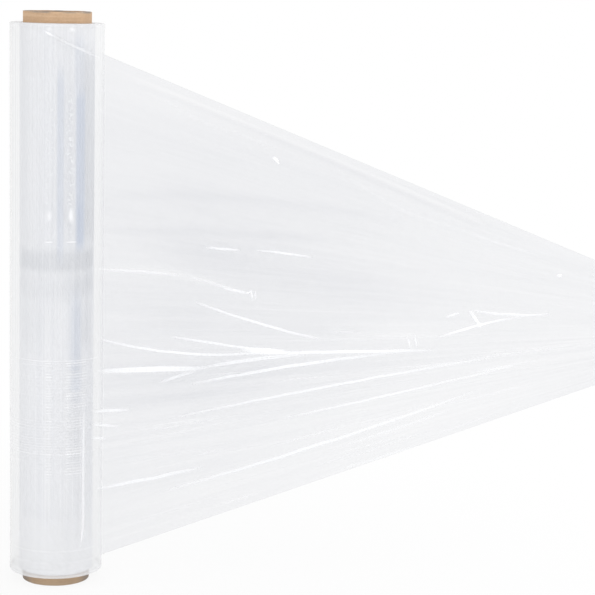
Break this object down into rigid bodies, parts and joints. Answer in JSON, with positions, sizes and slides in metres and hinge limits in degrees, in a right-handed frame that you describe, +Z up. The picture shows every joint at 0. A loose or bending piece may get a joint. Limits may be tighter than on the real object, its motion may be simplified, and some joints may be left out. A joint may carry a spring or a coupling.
{
  "type": "stretch wrap roll",
  "caption": "Hand roll of clear stretch film on a paperboard core, standing on its end, with the outer turn drawn off sideways as a gathered web.",
  "frame": {"origin": "on the core's axis, in the plane of its lower end, which the roll stands on", "axes": "+Z up the core's axis; the web leaves the front of the roll, at -Y, and runs towards +X"},
  "size_m": [0.5425, 0.0877, 0.52],
  "materials": {
    "core_board": "matte",
    "stretch_film": "gloss"
  },
  "bodies": {
    "root": {"core_tube": "core_board", "film": "stretch_film"}
  },
  "joints": []
}
